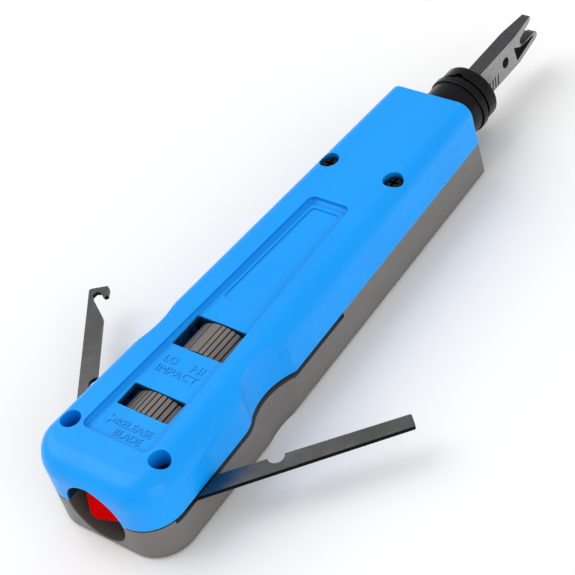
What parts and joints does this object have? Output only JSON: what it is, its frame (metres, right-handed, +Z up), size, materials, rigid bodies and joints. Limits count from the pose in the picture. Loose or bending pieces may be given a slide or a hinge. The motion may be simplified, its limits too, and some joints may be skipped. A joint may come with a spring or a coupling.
{
  "type": "punch down tool",
  "caption": "Impact punch down tool: tapered two-shell handle, twist-lock forked blade, impact selector, fold-out hook and pry bar, spare blade store.",
  "frame": {"origin": "on the casing's flat underside, at mid-length and mid-width", "axes": "+X forward to the blade, +Y to the left (the hook's side), +Z up through the panel with the selectors"},
  "size_m": [0.198, 0.1106, 0.0246],
  "materials": {
    "blue_plastic": "moulded, polished",
    "grey_plastic": "moulded, fine satin",
    "rib_plastic": "moulded, fine satin",
    "red_plastic": "moulded, polished",
    "black_steel": "black oxide, satin",
    "tool_steel": "ground and blackened",
    "blade_steel": "ground faces",
    "spring_steel": "drawn wire",
    "bright_steel": "turned",
    "brass_bush": "turned"
  },
  "bodies": {
    "case": {"top_shell": "blue_plastic", "bottom_shell": "grey_plastic", "front_case_screws": "black_steel", "rear_pivot_screws": "black_steel", "pivot_washers": "spring_steel", "storage_sleeve": "bright_steel", "hammer_tube": "bright_steel", "nose_bush": "brass_bush", "click_ball": "bright_steel", "click_spring": "spring_steel", "main_spring": "spring_steel", "return_spring": "spring_steel"},
    "release_wheel": {"release_drum": "rib_plastic"},
    "carrier": {"spare_blade_carrier": "red_plastic", "spare_blade": "blade_steel"},
    "selector": {"impact_selector": "rib_plastic"},
    "seat": {"spring_seat": "bright_steel"},
    "striker": {"hammer": "bright_steel", "sear_spring": "spring_steel"},
    "trip_slide": {"sear": "bright_steel"},
    "plunger": {"blade_holder": "black_steel", "retaining_ring": "spring_steel", "detent_ring": "black_steel", "detent_ball": "bright_steel"},
    "blade": {"punch_blade": "blade_steel"},
    "hook": {"hook": "tool_steel"},
    "pry_bar": {"pry_bar": "tool_steel"}
  },
  "joints": [
    {"name": "plunger_slide", "type": "slide", "parent": "case", "child": "plunger", "axis": [-1, 0, 0], "range_m": [0, 0.009], "stiffness_N_per_m": 2000, "springref_m": -0.006, "deforming": ["return_spring"]},
    {"name": "hammer_slide", "type": "slide", "parent": "case", "child": "striker", "axis": [-1, 0, 0], "range_m": [0, 0.009], "deforming": ["main_spring"]},
    {"name": "sear_slide", "type": "slide", "parent": "striker", "child": "trip_slide", "axis": [0, 0, 1], "range_m": [0, 0.0013], "stiffness_N_per_m": 400, "springref_m": -0.001, "deforming": ["sear_spring"]},
    {"name": "blade_twist", "type": "hinge", "parent": "plunger", "child": "blade", "pos_m": [0.0926, 0, 0.0122], "axis": [1, 0, 0], "range_deg": [0, 90]},
    {"name": "seat_slide", "type": "slide", "parent": "case", "child": "seat", "axis": [1, 0, 0], "range_m": [-0.00068, 0.00068]},
    {"name": "selector_turn", "type": "hinge", "parent": "case", "child": "selector", "pos_m": [-0.025, 0, 0.0122], "axis": [1, 0, 0], "range_deg": [-12, 12]},
    {"name": "carrier_slide", "type": "slide", "parent": "case", "child": "carrier", "axis": [-1, 0, 0], "range_m": [0, 0.005]},
    {"name": "release_turn", "type": "hinge", "parent": "case", "child": "release_wheel", "pos_m": [-0.048, 0, 0.0104], "axis": [-1, 0, 0], "range_deg": [0, 25.01]},
    {"name": "hook_swing", "type": "hinge", "parent": "case", "child": "hook", "pos_m": [-0.06153, 0.01471, 0.01], "axis": [0, 0, 1], "range_deg": [-40, 57]},
    {"name": "pry_bar_swing", "type": "hinge", "parent": "case", "child": "pry_bar", "pos_m": [-0.06153, -0.01471, 0.01], "axis": [0, 0, -1], "range_deg": [-43.8, 53]}
  ],
  "couplings": [
    {"joint": "hammer_slide", "follows": "plunger_slide", "ratio": 1},
    {"joint": "selector_turn", "follows": "seat_slide", "rad_per_m": 304.88},
    {"joint": "release_turn", "follows": "carrier_slide", "rad_per_m": 87.266}
  ]
}
